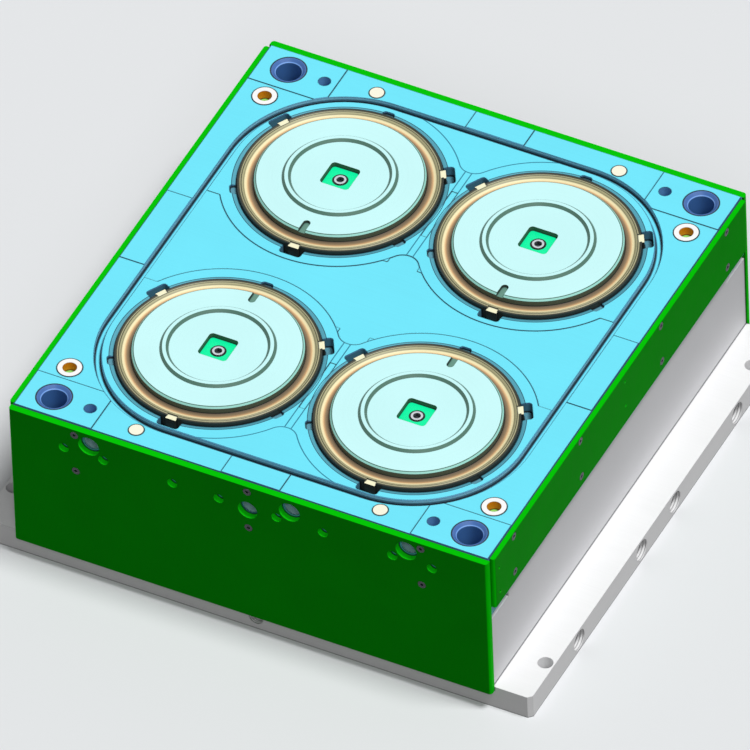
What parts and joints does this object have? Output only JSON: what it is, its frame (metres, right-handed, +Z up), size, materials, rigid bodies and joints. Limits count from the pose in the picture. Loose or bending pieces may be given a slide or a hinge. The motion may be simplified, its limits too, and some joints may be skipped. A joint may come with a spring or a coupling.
{
  "type": "o-ring mould",
  "caption": "Moving half of a mould for rubber sealing rings: round core discs with stripper rings, seal groove, guide bushes, insulation boards and an ejector set on a wide clamp base.",
  "frame": {"origin": "middle of the base's underside, where it lies on the press platen", "axes": "+X to the right along the front edge, +Y to the back, +Z up in the opening direction of the mould"},
  "size_m": [0.696, 0.666, 0.2446],
  "materials": {
    "base": "white, satin",
    "spacer": "pale grey, satin",
    "plate": "light blue, satin",
    "disc": "very pale blue, fine satin",
    "ring": "cream, satin",
    "key": "turquoise green, satin",
    "bush": "dark blue, ground",
    "pad": "white, ground",
    "pin": "cream, ground",
    "screw": "dark grey, satin",
    "plug": "pale green, satin",
    "inner": "ground steel",
    "bronze": "turned bronze",
    "board": "green laminate, matt"
  },
  "bodies": {
    "mould_half": {"base_plate": "base", "spacer_left": "spacer", "spacer_right": "spacer", "support_plate": "plate", "core_plate": "plate", "core_disc_fl": "disc", "core_disc_fr": "disc", "core_disc_bl": "disc", "core_disc_br": "disc", "key_block_fl": "key", "key_block_fr": "key", "key_block_bl": "key", "key_block_br": "key", "key_screws": "screw", "guide_bush_fl": "bush", "guide_bush_fr": "bush", "guide_bush_bl": "bush", "guide_bush_br": "bush", "centring_sleeve_fl": "bush", "centring_sleeve_fr": "bush", "centring_sleeve_bl": "bush", "centring_sleeve_br": "bush", "landing_pad_fl": "pad", "landing_pad_fr": "pad", "landing_pad_bl": "pad", "landing_pad_br": "pad", "landing_screws": "plug", "support_pillar_fl": "inner", "support_pillar_fr": "inner", "support_pillar_bl": "inner", "support_pillar_br": "inner", "pillar_screws": "screw", "rest_buttons": "inner", "ejector_guide_pin_fl": "inner", "ejector_guide_pin_fr": "inner", "ejector_guide_pin_bl": "inner", "ejector_guide_pin_br": "inner", "stop_collars": "inner", "frame_screws": "screw", "plate_screws": "screw", "board_front": "board", "board_back": "board", "board_left": "board", "board_right": "board", "board_screws": "screw"},
    "ejector_set": {"ejector_base_plate": "inner", "ejector_retainer_plate": "inner", "ejector_screws": "screw", "ejector_guide_bushes": "bronze", "stripper_ring_fl": "ring", "stripper_ring_fr": "ring", "stripper_ring_bl": "ring", "stripper_ring_br": "ring", "push_pins": "pin", "return_pin_fl": "pin", "return_pin_fr": "pin", "return_pin_bl": "pin", "return_pin_br": "pin"}
  },
  "joints": [
    {"name": "ejector_slide", "type": "slide", "parent": "mould_half", "child": "ejector_set", "axis": [0, 0, 1], "range_m": [0, 0.03]}
  ]
}
